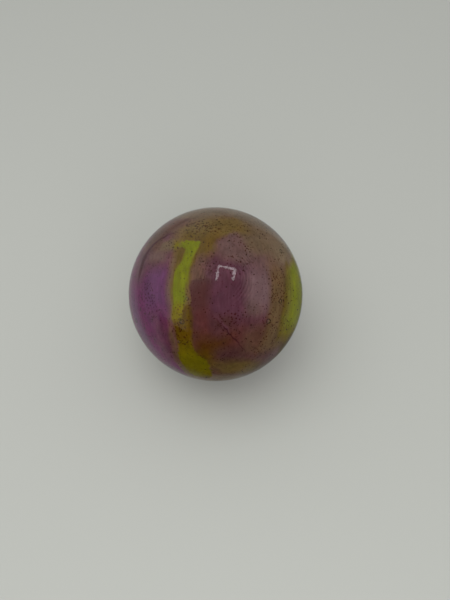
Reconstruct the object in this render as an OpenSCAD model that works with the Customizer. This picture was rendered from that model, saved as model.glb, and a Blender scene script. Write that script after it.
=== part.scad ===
// Glass marble: one solid ball of glass, with the larger air bubbles sealed inside it.
// Units are millimetres, +Z is up and the origin is the centre of the ball.
// The coloured ribbons are glass fused into glass: they are colour and not solids of their own.

/* [Ball] */
// Diameter of the ball, a stock size for a large marble
ball_d = 25; // [14:0.5:50]

/* [Bubbles] */
// Diameter of the largest bubble
bubble_d = 0.7; // [0.3:0.05:1.2]
// Glass between the largest bubble and the outside
bubble_cover = 0.7; // [0.3:0.1:2]
// How much deeper each bubble of a string lies than the one before it
string_sink = 0.25; // [0:0.05:0.5]
// Angle between neighbours in a string, seen from the middle of the ball
string_step = 16; // [8:1:20]

/* [Colour] */
// Colour of the clear glass
glass_colour = [0.45, 0.33, 0.42];
// How much of what is behind the glass it hides
glass_cover = 0.6; // [0.2:0.1:1]

/* [Hidden] */

ball_r = ball_d / 2;

// Strings of bubbles, drawn out along the ribbons when the hot glass was twisted.
// Each has the longitude and latitude of its first bubble, the heading that the others
// follow (0 runs east, 90 runs north), and each bubble's share of the largest diameter.
STRINGS = [
    [242,  49,  -85, [0.7, 1.0, 0.7]],
    [312,  26,   18, [1.0, 0.8]],
    [ 30,  10,  115, [0.7, 0.9, 0.8]],
    [120, -20,   40, [1.0, 0.8]],
    [205,   5,  -80, [0.9, 0.7, 0.8]],
    [290, -35,   10, [1.0, 0.7]]
];

// One string: the bubbles follow a great circle from the first, each a little deeper
module bubble_string(longitude, latitude, heading, shares)
    rotate([0, -latitude, longitude])
        rotate([heading, 0, 0])
            for (i = [0 : len(shares) - 1])
                rotate([0, 0, i * string_step])
                    translate([ball_r - bubble_cover - bubble_d / 2 - i * string_sink, 0, 0])
                        sphere(d = shares[i] * bubble_d, $fn = 24);

module bubbles()
    for (s = STRINGS)
        bubble_string(s[0], s[1], s[2], s[3]);

module marble()
    color(glass_colour, glass_cover)
        difference() {
            sphere(d = ball_d, $fn = 96);
            bubbles();
        }

marble();
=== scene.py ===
"""A glass marble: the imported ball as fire-polished glass, with the coloured glass fused inside it.

The colour was laid along a cane of glass that was twisted a little before the ball was rounded, so
everything inside is placed in the cane's frame: X runs right, Y runs along the cane and Z points at
the front. A place in it is a turn round the cane (0 at the front, 90 at the right) and a height along
it, both in degrees, and a depth, as a share of the ball's radius.
"""

import math
import random

import bmesh
import bpy
from mathutils import Matrix, Quaternion, Vector, noise


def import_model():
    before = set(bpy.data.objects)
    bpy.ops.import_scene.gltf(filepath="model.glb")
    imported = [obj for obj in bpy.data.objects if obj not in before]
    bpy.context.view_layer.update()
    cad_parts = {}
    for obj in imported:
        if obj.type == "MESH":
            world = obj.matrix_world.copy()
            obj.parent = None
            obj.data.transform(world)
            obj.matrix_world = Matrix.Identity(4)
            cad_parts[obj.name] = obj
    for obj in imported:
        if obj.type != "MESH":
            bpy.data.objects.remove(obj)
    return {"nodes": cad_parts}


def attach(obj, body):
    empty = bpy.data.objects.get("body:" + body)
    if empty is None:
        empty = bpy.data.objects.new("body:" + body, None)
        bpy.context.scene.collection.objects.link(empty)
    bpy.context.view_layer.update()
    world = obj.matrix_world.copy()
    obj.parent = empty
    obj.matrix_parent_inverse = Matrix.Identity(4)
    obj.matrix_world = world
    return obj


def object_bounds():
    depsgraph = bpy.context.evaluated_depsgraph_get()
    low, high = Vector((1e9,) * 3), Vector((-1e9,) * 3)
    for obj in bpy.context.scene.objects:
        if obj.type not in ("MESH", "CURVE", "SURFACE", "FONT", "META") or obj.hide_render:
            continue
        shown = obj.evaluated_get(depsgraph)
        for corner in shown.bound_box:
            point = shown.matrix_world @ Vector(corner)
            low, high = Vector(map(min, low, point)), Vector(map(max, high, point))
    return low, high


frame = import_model()
cad_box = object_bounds()

# ---------------------------------------------------------------- sizes, in metres

MM = 0.001
BALL_R = (cad_box[1].z - cad_box[0].z) / 2
FLOOR_Z = cad_box[0].z
CAMERA_RISE = math.radians(56)  # how high the camera stands, as an angle above the card
CANE_TILT = math.pi / 2 - CAMERA_RISE  # the cane leans away, so that its front faces the camera
FROM_CANE = Matrix.Rotation(CANE_TILT, 4, "X")

CORE_DEPTH = 0.87  # mean radius of the coloured core, as a share of the ball's
CORE_LUMPS = 0.012  # how far its hills and hollows reach, as a share of the ball's radius
CORE_LUMP_SIZE = 5 * MM
CORE_FINENESS = 7  # how often the faces of the core's first ball are split
SWIRL_SIZE, SWIRL_PUSH = 5 * MM, 0.5 * MM  # slow bends in the colours, from the stirring
FIBRE_WIDTH, FIBRE_LENGTH, FIBRE_PUSH = 0.4 * MM, 7 * MM, 0.35 * MM  # their frayed edges
STREAK_WIDTH, STREAK_LENGTH = 0.35 * MM, 6 * MM  # lighter and darker streaks inside a colour
CLOUD_SIZE = 1.6 * MM
SHADE_DARK, SHADE_LIGHT = 0.78, 1.22  # what streaks and clouds leave of a colour, at the ends
SHADE_LOW, SHADE_HIGH = 0.7, 1.3  # the sum of their two noises at those ends
SCATTER_DEPTH = 0.3 * MM  # how far light spreads inside the coloured glass
# Specks in the coloured glass, with radii as shares of their spacing, and seed bubbles above it,
# with diameters. Real ones are mostly finer than 0.1 mm, too fine to show, so these are coarser.
SPECK_SPACING, DRIFT_SIZE = 0.36 * MM, 2.5 * MM
DRIFT_FEW, DRIFT_MANY = 0.4, 0.65  # levels of the drifts' noise where specks are least and largest
SPECK_SMALL, SPECK_LARGE, SPECK_GROWTH = 0.11, 0.3, 0.13
SPECK_HEART = 0.6  # how much of a speck's radius has its full colour
SEED_SMALL, SEED_LARGE = 0.11 * MM, 0.24 * MM
SEED_SCATTER = 700  # how many seed bubbles are scattered all round, besides those in the drifts
SEED_CLEARANCE, SEED_HIGHEST = 0.015, 0.975  # above the core, and from the middle, in ball radii
WAVE_SIZE, WAVE_DEPTH = 2.5 * MM, 0.005 * MM  # the slow waves of a surface rounded hot
DIMPLE_SIZE, DIMPLE_DEPTH = 0.35 * MM, 0.0045 * MM  # fine dimples that fray a reflection's edge
TINT_DENSITY = 120.0  # how fast the clear glass takes up its tint, per metre
CARD_HALF = 1.5  # half the width of the card that the ball rests on

# ---------------------------------------------------------------- colours

# The coloured glasses, as they look with light falling on them
GLASS = {
    "dusk": "#81545b",
    "plum": "#805361",
    "wine": "#864f4b",
    "brown": "#734c48",
    "amber": "#734a13",
    "umber": "#8d6a54",
    "clay": "#967a50",
    "tan": "#957e43",
    "khaki": "#856c26",
    "fawn": "#937e5f",
    "rose": "#805a49",
    "sand": "#ab9875",
    "mauve": "#93746d",
    "lilac": "#a08282",
    "violet": "#8b1e70",
    "deep_violet": "#895269",
    # violet lightened as a painted glow, for light that comes through the translucent glass
    "violet_painted_glow": "#8b5384",
    "olive": "#82650d",
    "moss": "#968d06",
    "gold": "#a69b05",
    "lime": "#99a409",
    "pale_lime": "#b4c11a",
    "cord": "#4c2629",
    "plum_cord": "#591531",
}
CLEAR_TINT = "#ecd9ea"
SEED_DARK = "#3f2015"
SPECK_TINT = "#a87f70"  # what the specks in the core leave of the colour under them
PAPER = "#bcbeb8"
BACKDROP = "#a6a8a2"
WINDOW_SIDE = "#b0aea4"  # the room on the left, by the window, as the ball reflects it
FAR_SIDE = "#6c6a64"  # the room on the right
UNLIT = "#0c0c0c"  # the dark side of the camera and whoever holds it, and the painted shade on the card in the gloss

# Fields of colour in the core, each laid over the last: glass, turn, height, half its width and
# half its length, how far it leans to the left, all in degrees, and how soft its edge is, as a
# share of that size
FIELDS = [
    ("brown", 104, -8, 20, 50, 0, 0.3),
    ("amber", 108, -36, 10, 14, 0, 0.5),
    ("violet", 145, -8, 26, 50, 0, 0.25),
    # painted glow: lighter violet where light comes through the glass
    ("violet_painted_glow", 136, 10, 10, 17, 0, 0.7),
    ("plum", -166, -6, 24, 48, 0, 0.3),
    ("lilac", -158, 14, 10, 19, 0, 0.7),
    ("clay", -134, 2, 10, 42, 0, 0.4),
    ("brown", -106, -12, 20, 48, 0, 0.3),
    ("mauve", -98, 34, 22, 14, 0, 0.5),
    ("tan", 178, 54, 60, 13, 0, 0.5),
    ("khaki", -150, -58, 46, 10, 0, 0.5),
    ("violet", -62, -12, 31, 56, 0, 0.2),
    # painted glow: lighter violet where light comes through the glass
    ("violet_painted_glow", -44, 6, 12, 22, 4, 0.7),
    ("violet_painted_glow", -72, -20, 7, 18, 0, 0.8),
    ("deep_violet", -41.5, -27, 8, 13, 0, 0.9),
    ("deep_violet", -46, -42, 9, 10, 0, 0.8),
    ("rose", -55, 26, 18, 7.5, 0, 1.0),
    ("plum", -62, 23, 9, 10, 0, 0.7),
    ("plum", -64, 19, 6, 11, 0, 0.9),
    ("fawn", -42, 35, 12, 6, 10, 0.6),
    ("mauve", -48, 26, 10, 4, 0, 0.8),
    ("fawn", 0, 76, 180, 16, 0, 0.3),
    ("rose", -66, 42, 14, 12, 0, 0.5),
    ("rose", -46, 53, 24, 8, 0, 0.5),
    ("rose", -58, 38, 7, 5, 0, 0.8),
    ("rose", -38, 46, 7, 4, 0, 0.9),
    ("tan", 12, 52, 38, 11, 0, 0.4),
    ("tan", -14, 46, 22, 8, 8, 0.5),
    ("khaki", -22, 41, 7, 4, 0, 0.8),
    ("khaki", -6, 36, 9, 8, 0, 0.7),
    ("khaki", -10, 28, 6, 8, 0, 0.7),
    ("umber", -12, 15, 7, 12, 0, 0.4),
    ("dusk", -1, 16, 6, 9, 0, 0.9),
    ("khaki", -27, 28, 6, 3.5, -15, 0.8),
    ("gold", -30.5, 34.5, 4.5, 2.8, -15, 1.0),
    # The brown is the glass's own colour, but the crisp top and left edges of this block, with their
    # rounded corner, are painted reflection: the outline of the camera's dark reflection
    ("brown", -7.3, -9.5, 9.2, 20, 0, 0.05),
    ("brown", -13.8, 5, 4, 4.8, 0, 0.1),
    ("wine", -5, -21, 8, 10, 0, 0.8),
    ("fawn", 38, 35, 20, 9, 0, 0.5),
    ("mauve", 34, 20, 15, 8, 0, 0.8),
    ("plum", 20, 12, 10, 8, 0, 0.9),
    ("plum", 9, -2, 12, 26, 0, 0.35),
    ("plum", 13, -20, 11, 16, 0, 0.6),
    ("mauve", 14, 34, 13, 8, 30, 0.4),
    ("lilac", 31.5, 2, 9.5, 14, 0, 0.6),
    ("mauve", 28, -14, 5.8, 6.5, 0, 0.8),
    ("mauve", 20, 26, 8, 5, 0, 0.8),
    ("dusk", 27.5, -20, 8.5, 5, 0, 0.8),
    ("umber", 34, -36, 22, 11, 0, 0.6),
    ("rose", 42, -28, 12, 7, 0, 0.8),
    ("wine", 15, -33, 8, 10, 0, 0.8),
    ("brown", 6, -19, 8, 5, 0, 0.8),
    ("amber", -3.5, -40.5, 15.5, 12, 0, 0.7),
    ("olive", -6, -50, 12, 8, 0, 0.8),
    ("brown", 12, -47, 12, 8, 0, 0.8),
    ("tan", 40, -60, 44, 9, 0, 0.6),
    ("rose", 64, -40, 9, 6, 0, 0.8),
    ("clay", 48, -7, 8, 30, 0, 0.5),
    ("fawn", 62, 54, 26, 12, 0, 0.5),
    ("sand", 67, 31, 17, 12, 0, 0.5),
    ("mauve", 76, -44, 14, 11, 0, 0.6),
    ("sand", 0, -82, 180, 12, 0, 0.4),
    ("clay", 60, -34, 10, 6, 0, 0.8),
]

# Ribbons along the cane: glasses and the heights where each is pure, softness of the edge in
# degrees, and rows of height, turn and half width in degrees (below zero the ribbon is gone)
RIBBONS = [
    ([(22, "clay"), (4, "fawn"), (-18, "clay"), (-50, "umber"), (-62, "tan")], 4.0,
     [(32, -27, -3), (24, -30.6, 2.8), (12, -31, 2.3), (0, -31.2, 2.1), (-12, -31.5, 0.8),
      (-20, -33.5, 0.8), (-30, -35.6, 3), (-38, -37.2, 3.4), (-46, -41, 3.5), (-54, -45, 4.5),
      (-62, -51, 5.5), (-70, -62, 6), (-78, -70, -4)]),
    ([(0, "clay")], 0.8,
     [(9, -19.6, -1), (5, -19.2, 2), (0, -18, 2.5), (-4, -17.3, 2.7), (-8, -17.5, 1.5),
      (-11, -18, -1)]),
    ([(20, "khaki"), (-10, "tan")], 2.0,
     [(37, -19, -3), (32, -20.8, 8.8), (25, -21.4, 8.7), (20, -21.9, 7.4), (10, -23.7, 6.9),
      (0, -24.3, 6.8), (-12, -25.2, 5.2), (-20, -26.6, 4.2), (-26, -27.5, -3)]),
    ([(-30, "olive"), (-47, "moss"), (-60, "moss"), (-70, "gold"), (-80, "tan")], 2.0,
     [(-5, -17.2, -2), (-8, -17.6, 2.2), (-12, -18.8, 3.5), (-16, -20.2, 5), (-20, -23.6, 7.8),
      (-25, -24, 8), (-30, -24.6, 7.6), (-36, -25.6, 7.4), (-40, -26.6, 8.4),
      (-45, -26.9, 11.3), (-50, -24.5, 15.4), (-55, -24.4, 17.2), (-62, -26.2, 20),
      (-70, -28.8, 22.3), (-80, -26, -5)]),
    ([(-3, "lime"), (-11, "gold"), (-16.5, "gold"), (-20, "olive")], 1.3,
     [(38.2, -19, -9), (37.2, -19.4, 7.2), (35.6, -20.7, 9.2), (33.2, -21.1, 8.8),
      (31.4, -18.4, 5.1), (25, -19.8, 4.3), (20, -20.8, 4.5), (15, -22.5, 5.1),
      (5, -23.9, 5.1), (-5, -24.4, 5.2), (-10, -25.7, 5), (-15, -27, 4.7), (-19, -27.7, 3.8),
      (-23, -29.5, -3)]),
    ([(0, "tan")], 3.0,
     [(40, -29.5, -3), (36, -29, 0.3), (32, -28.5, 0.3), (28, -28, -3)]),
    ([(12, "tan"), (-4, "khaki")], 4.0,
     [(27, 66, -4), (18, 61, 4), (0, 56.5, 3.5), (-15, 56, 3), (-28, 58, 3), (-38, 60, -4)]),
    ([(24, "gold"), (17, "pale_lime"), (-18, "pale_lime"), (-28, "gold"), (-36, "khaki")], 8.0,
     [(58, 128, -9), (46, 116, 2), (36, 104, 9), (28, 92, 9), (22, 82, 11), (15, 78, 15),
      (5, 78.5, 17.5), (-5, 78.5, 18), (-15, 77, 18), (-22, 76, 17), (-28, 74, 14),
      (-34, 76, 9), (-42, 86, 7), (-52, 98, 4), (-62, 110, -9)]),
    ([(50, "violet"), (10, "lilac"), (-30, "deep_violet")], 2.5,
     [(66, -146, -3), (54, -154, 5), (36, -162, 6), (14, -168, 6), (-8, -171, 5),
      (-30, -173, 4), (-46, -175, -3)]),
    ([(30, "amber"), (-20, "olive")], 2.0,
     [(48, 150, -3), (36, 146, 3), (16, 138, 4), (-10, 132, 3), (-36, 128, 4),
      (-54, 132, -3)]),
    ([(0, "cord")], 0.8,
     [(36, -84, -1), (24, -88, 0.6), (8, -94, 1), (-10, -98, 0.6), (-24, -100, -1)]),
    ([(30, "gold"), (18, "lime"), (-10, "lime"), (-30, "olive")], 1.5,
     [(40, 172, -3), (34, 169, 3), (18, 163, 6), (-4, 160, 6.5), (-24, 164, 5), (-44, 172, 3),
      (-56, 176, -3)]),
    ([(40, "gold"), (26, "lime"), (2, "lime"), (-16, "olive")], 2.0,
     [(44, -118, -3), (34, -120, 7), (12, -124, 11), (-12, -122, 9), (-34, -116, 5),
      (-52, -108, -3)]),
    ([(0, "dusk")], 1.2,
     [(-6, -3.5, -2), (-12, 0, 1.2), (-18, 3.6, 1.5), (-24, 8.4, 1.2), (-29, 12, -1)]),
    ([(0, "plum_cord")], 1.8,
     [(0, -63, -4), (8, -63.5, 0.5), (16, -63.9, 2), (24, -64.5, 2.8), (30, -64.5, 2.1),
      (35, -62.4, 1.8), (39, -58.8, 1.3), (42.3, -52.7, 1.7), (44.3, -47.4, 2), (45.4, -41, 1.8),
      (46.2, -35, -4)]),
    ([(0, "cord")], 0.6,
     [(-17, 2.7, -1), (-21, 5.3, 0.2), (-26, 9.2, 0.6), (-32, 15.0, 0.6), (-38, 21.0, 0.3),
      (-48, 33.7, -0.2), (-51, 37.7, -1)]),
    ([(0, "cord")], 0.6,
     [(-10, -2, -1), (-16, 1, 0), (-22, 4.5, 0.1), (-27, 8.5, 0), (-32, 13, -1)]),
    ([(0, "cord")], 2.0,
     [(-12, 38, -2.5), (-16, 34, -0.8), (-20, 30, -0.6), (-24, 26, -0.8), (-27, 22, -2.5)]),
]

# Drifts of painted specks: turn, height, half width and half length in degrees
SPECK_DRIFTS = [
    (47, -6, 9, 30),
    (-27, -23, 7, 15),
    (0, 51, 44, 8),
    (-51, -8, 9, 13),
    (10, -20, 10, 11),
    (24, 23, 6, 5),
    (100, 10, 20, 30),
    (-130, 0, 20, 30),
    (170, -20, 24, 24),
]

# Drifts of seed bubbles: turn, height, spread of each in degrees, and how many
SEED_DRIFTS = [
    (-27, -22, 5, 7, 14),
    (-48, -8, 7, 10, 60),
    (-36, 33, 7, 6, 20),
    (43, -6, 5, 16, 40),
    (-8, 47, 18, 7, 100),
    (18, -22, 6, 10, 40),
    (25, 25, 4, 3, 12),
    (44, 42, 5, 3, 16),
    (-3, 24, 3, 5, 12),
    (58, -10, 6, 18, 36),
]

# Rings of fine cords: their middle and the pitch from ring to ring, in degrees, and what they
# leave of a colour at their darkest and lightest
RIPPLE_MIDDLE, RIPPLE_PITCH = (4, 10, 0), 2.2
RIPPLE_DARK, RIPPLE_LIGHT = 0.8, 1.08
# Where the rings show: turn, height, half width and half length in degrees
RIPPLE_DRIFTS = [(20, 9, 6, 15), (-6, 16, 6, 9), (24, 23, 6, 4)]


# ---------------------------------------------------------------- light

EVEN_LIGHT = 0.66  # level of the soft light from all round
SOFT_LAMP_SIZE, SOFT_LAMP_AWAY = 140 * MM, 170 * MM
# Lamps that give the soft shadow: name, direction from the ball, and level of light on it
SOFT_LAMPS = [("window", (-0.25, -0.1, 0.95), 0.30), ("fill", (0.1, -0.85, 0.5), 0.28)]
# The square ceiling lamp: where it is, how wide and deep, how wide its bright strips are, how
# bright, and how far it is turned round; the right strip is shorter and a little further back
CEILING_TOWARD, CEILING_AWAY = (0.222, -0.148, 0.95), 500 * MM
CEILING_WIDTH, CEILING_DEPTH, STRIP_WIDTH = 205 * MM, 155 * MM, 25 * MM
RIGHT_STRIP_LENGTH, RIGHT_STRIP_BACK = 118 * MM, 19 * MM
STRIP_RADIANCE, CEILING_SPIN = 3.8, math.radians(-64)

# What the ball's gloss shows: the room turns from its window side to its far side between two
# values of X, and the camera's side is a rounded box round a middle, in the cane's frame, which
# fades out from the second edge to the first
ROOM_LEFT, ROOM_RIGHT = -0.25, 0.05
CAMERA_MIDDLE, CAMERA_REACH = (0.08, -0.45, 0.9), (0.62, 0.73, 0.9)
CAMERA_EDGES = (1.5, 0.6)
# Painted shade on the card, which only the ball's gloss shows, in front of the ball and on its
# right: how much the other axis counts, where the darkening starts and ends, and how dark it is there
FRONT_PAINTED_SHADE = (0.35, -5 * MM, -15 * MM, 0.0, 0.97)
RIGHT_PAINTED_SHADE = (-0.5, 8 * MM, 16 * MM, 0.27, 0.72)
DARK_ROUNDING = 8 * MM


# ---------------------------------------------------------------- helpers


def linear(hex_colour):
    """An sRGB hex colour as linear red, green, blue and alpha."""
    parts = [int(hex_colour[i : i + 2], 16) / 255 for i in (1, 3, 5)]
    return [c / 12.92 if c <= 0.04045 else ((c + 0.055) / 1.055) ** 2.4 for c in parts] + [1.0]


def add(tree, kind, sockets=None, **settings):
    """Adds a node: settings are its own properties, sockets its values or the outputs that feed it."""
    node = tree.nodes.new("ShaderNode" + kind)
    for key, value in settings.items():
        setattr(node, key, value)
    for key, value in (sockets or {}).items():
        if isinstance(value, bpy.types.NodeSocket):
            tree.links.new(value, node.inputs[key])
        else:
            node.inputs[key].default_value = value
    return node


def new_material(name):
    material = bpy.data.materials.new(name)
    material.use_nodes = True
    material.node_tree.nodes.clear()
    return material, material.node_tree


def cane_point(turn, height, share):
    """A point of the cane's frame, in ball radii."""
    turn, height = math.radians(turn), math.radians(height)
    flat = share * math.cos(height)
    return Vector((flat * math.sin(turn), share * math.sin(height), flat * math.cos(turn)))


def finish_piece(name, bm, material):
    """Turns a bmesh made in the cane's frame, in ball radii, into a piece riding on the ball."""
    bm.transform(FROM_CANE @ Matrix.Scale(BALL_R, 4))
    for face in bm.faces:
        face.smooth = True
    mesh = bpy.data.meshes.new(name)
    bm.to_mesh(mesh)
    bm.free()
    mesh.materials.append(material)
    piece = bpy.data.objects.new(name, mesh)
    bpy.context.scene.collection.objects.link(piece)
    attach(piece, "root")
    return piece


# ---------------------------------------------------------------- materials


def fire_polished_glass():
    """Soda-lime glass rounded in the flame, which leaves it mirror smooth.

    The eye gets crisp reflections that waver a little, with frayed edges, and a faint violet tint
    that is stronger where the glass is thicker.
    """
    material, tree = new_material("fire-polished soda-lime glass")
    place = add(tree, "TexCoord").outputs["Object"]
    waves = add(tree, "TexNoise", {"Vector": place, "Scale": 1 / WAVE_SIZE, "Detail": 2.0}).outputs[0]
    waves = add(tree, "Bump", {"Height": waves, "Distance": WAVE_DEPTH}).outputs[0]
    dimples = add(tree, "TexNoise", {"Vector": place, "Scale": 1 / DIMPLE_SIZE,
                                     "Detail": 0.0}).outputs[0]
    bump = add(tree, "Bump", {"Height": dimples, "Distance": DIMPLE_DEPTH, "Normal": waves}).outputs[0]
    shader = add(tree, "BsdfPrincipled", {"Base Color": (1, 1, 1, 1), "Roughness": 0.0, "IOR": 1.5,
                                          "Transmission Weight": 1.0, "Normal": bump})
    depth = add(tree, "VolumeAbsorption", {"Color": linear(CLEAR_TINT), "Density": TINT_DENSITY})
    add(tree, "OutputMaterial", {"Surface": shader.outputs[0], "Volume": depth.outputs[0]})
    return material


def drawn_noise(tree, place, width, length, detail):
    """Noise pulled out along the cane, as the glass was: fibres of the given width and length."""
    pulled = add(tree, "VectorMath", {0: place, 1: (1, width / length, 1)},
                 operation="MULTIPLY").outputs[0]
    return add(tree, "TexNoise", {"Vector": pulled, "Scale": 1 / width, "Detail": detail})


def pushed(tree, place, pattern, distance):
    """The place moved by a noise pattern's colour, by up to about the distance each way."""
    centred = add(tree, "VectorMath", {0: pattern, 1: (0.5,) * 3}, operation="SUBTRACT").outputs[0]
    push = add(tree, "VectorMath", {0: centred, "Scale": 2 * distance}, operation="SCALE").outputs[0]
    return add(tree, "VectorMath", {0: place, 1: push}, operation="ADD").outputs[0]


def cane_place(tree):
    """Object coordinates turned into the cane's frame, in metres."""
    place = add(tree, "TexCoord").outputs["Object"]
    return add(tree, "Mapping", {"Vector": place, "Rotation": (-CANE_TILT, 0, 0)}).outputs[0]


def cane_angles(tree, place):
    """Turn and height of a place, in degrees, as the X and Y of a vector."""
    part = add(tree, "SeparateXYZ", {0: place}).outputs
    turn = add(tree, "Math", {0: part["X"], 1: part["Z"]}, operation="ARCTAN2").outputs[0]
    length = add(tree, "VectorMath", {0: place}, operation="LENGTH").outputs["Value"]
    rise = add(tree, "Math", {0: part["Y"], 1: length}, operation="DIVIDE").outputs[0]
    height = add(tree, "Math", {0: rise}, operation="ARCSINE").outputs[0]
    both = add(tree, "CombineXYZ", {"X": turn, "Y": height}).outputs[0]
    return add(tree, "VectorMath", {0: both, "Scale": math.degrees(1)}, operation="SCALE").outputs[0]


def field_mask(tree, angles, turn, height, half_width, half_length, lean, softness):
    """1 inside a field with rounded corners, 0 outside, with a soft edge."""
    away = add(tree, "VectorMath", {0: angles, 1: (turn, height, 0)}, operation="SUBTRACT").outputs[0]
    away = add(tree, "VectorMath", {0: away, 1: (180, 180, 1), 2: (-180, -180, -1)},
               operation="WRAP").outputs[0]
    away = add(tree, "Mapping", {"Vector": away, "Rotation": (0, 0, math.radians(lean)),
                                 "Scale": (half_width, half_length, 1)},
               vector_type="TEXTURE").outputs[0]
    square = add(tree, "VectorMath", {0: away, 1: away}, operation="MULTIPLY").outputs[0]
    fourth = add(tree, "VectorMath", {0: square, 1: square}, operation="DOT_PRODUCT").outputs["Value"]
    reach = add(tree, "Math", {0: fourth, 1: 0.25}, operation="POWER").outputs[0]
    return add(tree, "MapRange", {"Value": reach, "From Min": 1 + softness, "From Max": 1 - softness},
               interpolation_type="SMOOTHSTEP").outputs[0]


def ribbon_mask(tree, angles, softness, rows):
    """1 inside a ribbon and 0 outside it, with a soft edge."""
    part = add(tree, "SeparateXYZ", {0: angles}).outputs
    share = add(tree, "MapRange", {"Value": part["Y"], "From Min": -90, "From Max": 90}).outputs[0]
    found = []
    for column in (1, 2):
        node = add(tree, "FloatCurve", {"Value": share})
        curve = node.mapping.curves[0]
        spots = sorted(((row[0] + 90) / 180, (row[column] + 180) / 360) for row in rows)
        for _ in spots[2:]:
            curve.points.new(0.5, 0.5)
        for point, spot in zip(curve.points, spots):
            point.location = spot
            point.handle_type = "AUTO_CLAMPED"
        node.mapping.update()
        found.append(add(tree, "MapRange", {"Value": node.outputs[0], "To Min": -180,
                                            "To Max": 180}).outputs[0])
    middle, half = found
    away = add(tree, "Math", {0: part["X"], 1: middle}, operation="SUBTRACT").outputs[0]
    away = add(tree, "Math", {0: away, 1: 180, 2: -180}, operation="WRAP").outputs[0]
    away = add(tree, "Math", {0: away}, operation="ABSOLUTE").outputs[0]
    inside = add(tree, "Math", {0: half, 1: away}, operation="SUBTRACT").outputs[0]
    return add(tree, "MapRange", {"Value": inside, "From Min": -softness, "From Max": softness},
               interpolation_type="SMOOTHSTEP").outputs[0]


def glass_along(tree, angles, stops):
    """The colour of a ribbon whose glass changes with the height."""
    height = add(tree, "SeparateXYZ", {0: angles}).outputs["Y"]
    share = add(tree, "MapRange", {"Value": height, "From Min": -90, "From Max": 90}).outputs[0]
    node = add(tree, "ValToRGB", {0: share})
    marks = node.color_ramp.elements
    marks.remove(marks[1])
    for place, glass in sorted(stops):
        mark = marks.new((place + 90) / 180)
        mark.color = linear(GLASS[glass])
    marks.remove(marks[0])
    return node.outputs[0]


def ripple_shade(tree, angles):
    """Fine cords in rings round the front of the ball, as shares of the full colour."""
    away = add(tree, "VectorMath", {0: angles, 1: RIPPLE_MIDDLE}, operation="SUBTRACT").outputs[0]
    one_per_unit = math.pi / 10  # the scale at which the wave texture has one ring per unit
    rings = add(tree, "TexWave", {"Vector": away, "Scale": one_per_unit / RIPPLE_PITCH,
                                  "Distortion": 1.5, "Detail": 1.0, "Detail Scale": 0.3},
                wave_type="RINGS", rings_direction="SPHERICAL").outputs["Fac"]
    rings = add(tree, "MapRange", {"Value": rings, "To Min": RIPPLE_DARK,
                                   "To Max": RIPPLE_LIGHT}).outputs[0]
    shade = 1.0
    for where in RIPPLE_DRIFTS:
        inside = field_mask(tree, angles, *where, 0, 0.6)
        shade = add(tree, "Mix", {0: inside, 2: shade, 3: rings}).outputs[0]
    return shade


def speck_mask(tree, place, angles):
    """1 on fine dark specks: few and tiny in most places, many and larger in the drifts."""
    near = add(tree, "TexVoronoi", {"Vector": place, "Scale": 1 / SPECK_SPACING}).outputs["Distance"]
    drift = add(tree, "TexNoise", {"Vector": place, "Scale": 1 / DRIFT_SIZE, "Detail": 2.0}).outputs[0]
    size = add(tree, "MapRange", {"Value": drift, "From Min": DRIFT_FEW, "From Max": DRIFT_MANY,
                                  "To Min": SPECK_SMALL, "To Max": SPECK_LARGE}).outputs[0]
    for turn, height, half_width, half_length in SPECK_DRIFTS:
        inside = field_mask(tree, angles, turn, height, half_width, half_length, 0, 0.5)
        size = add(tree, "Math", {0: inside, 1: SPECK_GROWTH, 2: size},
                   operation="MULTIPLY_ADD").outputs[0]
    heart = add(tree, "Math", {0: size, 1: SPECK_HEART}, operation="MULTIPLY").outputs[0]
    return add(tree, "MapRange", {"Value": near, "From Min": size, "From Max": heart}).outputs[0]


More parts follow.
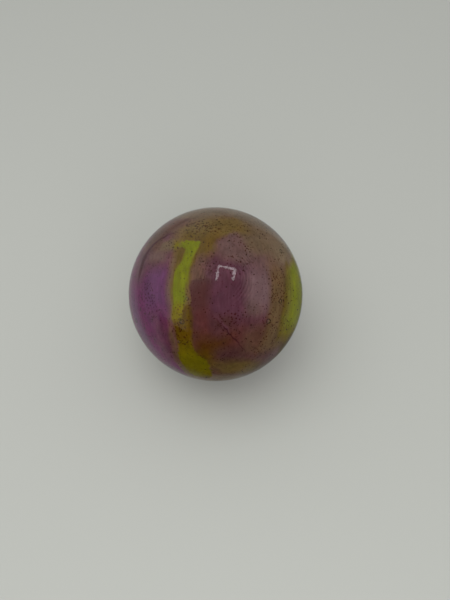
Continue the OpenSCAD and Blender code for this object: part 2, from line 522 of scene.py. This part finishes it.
def stirred_core_glass():
    """Soft glasses of several colours, stirred and twisted while hot.

    The eye gets fields and ribbons of colour with frayed edges, clouds and fine streaks drawn out
    along the cane, and dark specks in drifts. Some fields are painted light: a lighter violet painted
    glow, and the crisp corner of a brown field along a dark reflection. Light spreads inside, so the
    colours look milky.
    """
    material, tree = new_material("stirred coloured glass")
    place = cane_place(tree)
    swirl = add(tree, "TexNoise", {"Vector": place, "Scale": 1 / SWIRL_SIZE,
                                   "Detail": 1.0}).outputs["Color"]
    stirred = pushed(tree, place, swirl, SWIRL_PUSH)
    fibres = drawn_noise(tree, place, FIBRE_WIDTH, FIBRE_LENGTH, 3.0).outputs["Color"]
    angles = cane_angles(tree, pushed(tree, stirred, fibres, FIBRE_PUSH))
    colour = linear(GLASS["dusk"])
    for glass, *where in FIELDS:
        mask = field_mask(tree, angles, *where)
        colour = add(tree, "Mix", {0: mask, 6: colour, 7: linear(GLASS[glass])},
                     data_type="RGBA").outputs[2]
    for stops, softness, rows in RIBBONS:
        mask = ribbon_mask(tree, angles, softness, rows)
        hue = glass_along(tree, angles, stops)
        colour = add(tree, "Mix", {0: mask, 6: colour, 7: hue}, data_type="RGBA").outputs[2]
    streaks = drawn_noise(tree, stirred, STREAK_WIDTH, STREAK_LENGTH, 4.0).outputs[0]
    clouds = add(tree, "TexNoise", {"Vector": stirred, "Scale": 1 / CLOUD_SIZE, "Detail": 5.0,
                                    "Roughness": 0.6}).outputs[0]
    shade = add(tree, "Math", {0: streaks, 1: clouds}, operation="ADD").outputs[0]
    shade = add(tree, "MapRange", {"Value": shade, "From Min": SHADE_LOW, "From Max": SHADE_HIGH,
                                   "To Min": SHADE_DARK, "To Max": SHADE_LIGHT}).outputs[0]
    shade = add(tree, "Math", {0: shade, 1: ripple_shade(tree, angles)}, operation="MULTIPLY").outputs[0]
    colour = add(tree, "Mix", {0: 1.0, 6: colour, 7: shade}, data_type="RGBA",
                 blend_type="MULTIPLY").outputs[2]
    colour = add(tree, "Mix", {0: speck_mask(tree, place, angles), 6: colour, 7: linear(SPECK_TINT)},
                 data_type="RGBA", blend_type="MULTIPLY").outputs[2]
    shader = add(tree, "BsdfPrincipled", {"Base Color": colour, "Roughness": 0.6,
                                          "Specular IOR Level": 0.0, "Subsurface Weight": 1.0,
                                          "Subsurface Scale": SCATTER_DEPTH,
                                          "Subsurface Radius": (1.0, 0.7, 0.8)})
    add(tree, "OutputMaterial", {"Surface": shader.outputs[0]})
    return material


def trapped_air():
    """Seed bubbles, trapped as the glass was stirred.

    Real ones bend the light so far that the eye gets a dull dark dot, so that is what these are.
    """
    material, tree = new_material("air trapped in stirred glass")
    shader = add(tree, "BsdfPrincipled", {"Base Color": linear(SEED_DARK), "Roughness": 0.5,
                                          "Specular IOR Level": 0.0})
    add(tree, "OutputMaterial", {"Surface": shader.outputs[0]})
    return material


# ---------------------------------------------------------------- the coloured glass inside


def core_share(direction):
    """Radius of the core in a direction of the cane's frame, as a share of the ball's."""
    return CORE_DEPTH + CORE_LUMPS * noise.noise(direction * BALL_R / CORE_LUMP_SIZE)


def colour_core():
    bm = bmesh.new()
    bmesh.ops.create_icosphere(bm, subdivisions=CORE_FINENESS, radius=1)
    for vert in bm.verts:
        vert.co = vert.co * core_share(vert.co)
    return finish_piece("colour_core", bm, stirred_core_glass())


def seeds():
    """Seed bubbles: about a thousand specks, in drifts and scattered, between core and surface."""
    pick = random.Random(7)
    spots = [Vector(pick.gauss(0, 1) for _ in range(3)).normalized() for _ in range(SEED_SCATTER)]
    for turn, height, turn_spread, height_spread, count in SEED_DRIFTS:
        for _ in range(count):
            spots.append(cane_point(pick.gauss(turn, turn_spread), pick.gauss(height, height_spread), 1))
    bm = bmesh.new()
    for direction in spots:  # most lie near the core, and most are small
        low = core_share(direction) + SEED_CLEARANCE
        share = low + (SEED_HIGHEST - low) * pick.random() ** 2
        size = SEED_SMALL + (SEED_LARGE - SEED_SMALL) * pick.random() ** 3
        place = Matrix.Translation(direction * share) @ Matrix.Scale(size / BALL_R / 2, 4)
        bmesh.ops.create_icosphere(bm, subdivisions=1, radius=1, matrix=place)
    return finish_piece("seed_bubbles", bm, trapped_air())


# ---------------------------------------------------------------- studio


def studio_camera():
    """A 50 mm lens looking down at the ball, which sits a little left of and above the middle."""
    focal, sensor, frame_w, frame_h = 50.0, 36.0, 450, 600
    ball_share = 0.3868  # the ball's diameter over the frame's width
    left_share, up_share = 0.0208, 0.0096  # how far the ball is off the middle
    scale = focal / sensor * frame_h
    away = BALL_R / math.sin(math.atan(ball_share * frame_w / 2 / scale))
    data = bpy.data.cameras.new("camera")
    data.lens, data.sensor_width, data.clip_start = focal, sensor, 1 * MM
    camera = bpy.data.objects.new("camera", data)
    bpy.context.scene.collection.objects.link(camera)
    back = Vector((0, -math.cos(CAMERA_RISE), math.sin(CAMERA_RISE)))
    up = Vector((0, math.sin(CAMERA_RISE), math.cos(CAMERA_RISE)))
    camera.rotation_mode = "QUATERNION"
    camera.rotation_quaternion = (-back).to_track_quat("-Z", "Y")
    aside = Vector((1, 0, 0)) * left_share * frame_w - up * up_share * frame_h
    camera.location = back * away + aside / scale * away
    bpy.context.scene.camera = camera


def floor():
    """Pale matt card, with painted shade that only the ball's gloss shows: dark in front, by the camera,
    and dim on the right.
    """
    bm = bmesh.new()
    bmesh.ops.create_grid(bm, x_segments=1, y_segments=1, size=CARD_HALF)
    bmesh.ops.translate(bm, verts=bm.verts[:], vec=(0, 0, FLOOR_Z))
    mesh = bpy.data.meshes.new("floor")
    bm.to_mesh(mesh)
    bm.free()
    material, tree = new_material("matt white card")
    place = add(tree, "SeparateXYZ", {0: add(tree, "TexCoord").outputs["Object"]}).outputs
    left = add(tree, "Math", {0: place["X"], 1: -1}, operation="MULTIPLY").outputs[0]
    aside = add(tree, "Math", {0: place["X"], 1: left, 2: DARK_ROUNDING},
                operation="SMOOTH_MAX").outputs[0]
    # Painted shade, seen only in the ball's gloss: the card turns dark in front and dim on the right
    painted_shades = []
    for across, along, limits in ((aside, place["Y"], FRONT_PAINTED_SHADE), (place["Y"], place["X"], RIGHT_PAINTED_SHADE)):
        share, start, end, least, most = limits
        reach = add(tree, "Math", {0: across, 1: share, 2: along}, operation="MULTIPLY_ADD").outputs[0]
        painted_shades.append(add(tree, "MapRange", {"Value": reach, "From Min": start, "From Max": end,
                                            "To Min": least, "To Max": most}).outputs[0])
    dark = add(tree, "Math", {0: painted_shades[0], 1: painted_shades[1]}, operation="MAXIMUM").outputs[0]
    gloss = add(tree, "LightPath").outputs["Is Glossy Ray"]
    dark = add(tree, "Math", {0: dark, 1: gloss}, operation="MULTIPLY").outputs[0]
    colour = add(tree, "Mix", {0: dark, 6: linear(PAPER), 7: linear(UNLIT)}, data_type="RGBA").outputs[2]
    shader = add(tree, "BsdfPrincipled", {"Base Color": colour, "Roughness": 0.9,
                                          "Specular IOR Level": 0.1})
    add(tree, "OutputMaterial", {"Surface": shader.outputs[0]})
    mesh.materials.append(material)
    piece = bpy.data.objects.new("floor", mesh)
    bpy.context.scene.collection.objects.link(piece)


def camera_side(tree, direction):
    """1 in the directions of the camera and whoever holds it, with a rounded soft outline."""
    side = add(tree, "Mapping", {"Vector": direction, "Rotation": (-CANE_TILT, 0, 0)}).outputs[0]
    away = add(tree, "VectorMath", {0: side, 1: CAMERA_MIDDLE}, operation="SUBTRACT").outputs[0]
    away = add(tree, "VectorMath", {0: away, 1: CAMERA_REACH}, operation="DIVIDE").outputs[0]
    square = add(tree, "VectorMath", {0: away, 1: away}, operation="MULTIPLY").outputs[0]
    fourth = add(tree, "VectorMath", {0: square, 1: square}, operation="DOT_PRODUCT").outputs["Value"]
    outer, inner = CAMERA_EDGES
    return add(tree, "MapRange", {"Value": fourth, "From Min": outer, "From Max": inner}).outputs[0]


def world(level):
    """Even light of the given level on every surface, a pale backdrop, and a room for the gloss.

    The camera sees the backdrop, also through the glass. The gloss sees the room: bright on the
    left, dimmer on the right, and dark on the camera's side.
    """
    studio = bpy.data.worlds.new("studio")
    bpy.context.scene.world = studio
    studio.use_nodes = True
    tree = studio.node_tree
    tree.nodes.clear()
    path = add(tree, "LightPath").outputs
    direction = add(tree, "TexCoord").outputs["Generated"]
    across = add(tree, "SeparateXYZ", {0: direction}).outputs["X"]
    far = add(tree, "MapRange", {"Value": across, "From Min": ROOM_LEFT,
                                 "From Max": ROOM_RIGHT}).outputs[0]
    room = add(tree, "Mix", {0: far, 6: linear(WINDOW_SIDE), 7: linear(FAR_SIDE)},
               data_type="RGBA").outputs[2]
    room = add(tree, "Mix", {0: camera_side(tree, direction), 6: room, 7: linear(UNLIT)},
               data_type="RGBA").outputs[2]
    straight = add(tree, "Math", {0: path["Is Camera Ray"], 1: path["Is Transmission Ray"]},
                   operation="MAXIMUM").outputs[0]
    seen = add(tree, "Mix", {0: straight, 6: room, 7: linear(BACKDROP)}, data_type="RGBA").outputs[2]
    seen = add(tree, "Background", {"Color": seen, "Strength": 1.0}).outputs[0]
    light = add(tree, "Background", {"Color": (1, 1, 1, 1), "Strength": level}).outputs[0]
    lit = add(tree, "Math", {0: path["Diffuse Depth"], 1: 0.5}, operation="GREATER_THAN").outputs[0]
    both = add(tree, "MixShader", {0: lit, 1: seen, 2: light}).outputs[0]
    add(tree, "OutputWorld", {"Surface": both})
    studio.cycles.sampling_method = "NONE"


def area_light(name, direction, away, width, depth, radiance, spin=0.0, offset=(0, 0), **seen_by):
    """A rectangular lamp facing the ball's centre, moved sideways in its own plane by offset."""
    data = bpy.data.lights.new(name, "AREA")
    data.shape, data.size, data.size_y = "RECTANGLE", width, depth
    data.energy = radiance * math.pi * width * depth
    lamp = bpy.data.objects.new(name, data)
    bpy.context.scene.collection.objects.link(lamp)
    turn = Vector(direction).to_track_quat("Z", "Y") @ Quaternion((0, 0, 1), spin)
    lamp.rotation_mode, lamp.rotation_quaternion = "QUATERNION", turn
    lamp.location = turn @ Vector((offset[0], offset[1], away))
    for key, value in seen_by.items():
        setattr(lamp, key, value)
    return lamp


def lamps():
    """A window and a fill that light the ball, and a ceiling lamp's strips that only its gloss shows."""
    for name, toward, level in SOFT_LAMPS:
        radiance = level * math.pi * (SOFT_LAMP_AWAY / SOFT_LAMP_SIZE) ** 2
        area_light(name, toward, SOFT_LAMP_AWAY, SOFT_LAMP_SIZE, SOFT_LAMP_SIZE, radiance,
                   visible_glossy=False)
    middle = (CEILING_WIDTH - STRIP_WIDTH) / 2
    strips = [
        ("strip_back", CEILING_WIDTH, STRIP_WIDTH, (0, CEILING_DEPTH / 2)),
        ("strip_left", STRIP_WIDTH, CEILING_DEPTH, (-middle, 0)),
        ("strip_right", STRIP_WIDTH, RIGHT_STRIP_LENGTH, (middle, RIGHT_STRIP_BACK)),
    ]
    for name, width, depth, offset in strips:
        area_light(name, CEILING_TOWARD, CEILING_AWAY, width, depth, STRIP_RADIANCE, CEILING_SPIN,
                   offset, visible_diffuse=False, visible_transmission=False, visible_camera=False)


# ---------------------------------------------------------------- making

studio_camera()
ball = frame["nodes"]["marble"]
ball.material_slots[0].material = fire_polished_glass()
colour_core()
seeds()
floor()
world(EVEN_LIGHT)
lamps()
bpy.context.scene.view_settings.view_transform = "Standard"
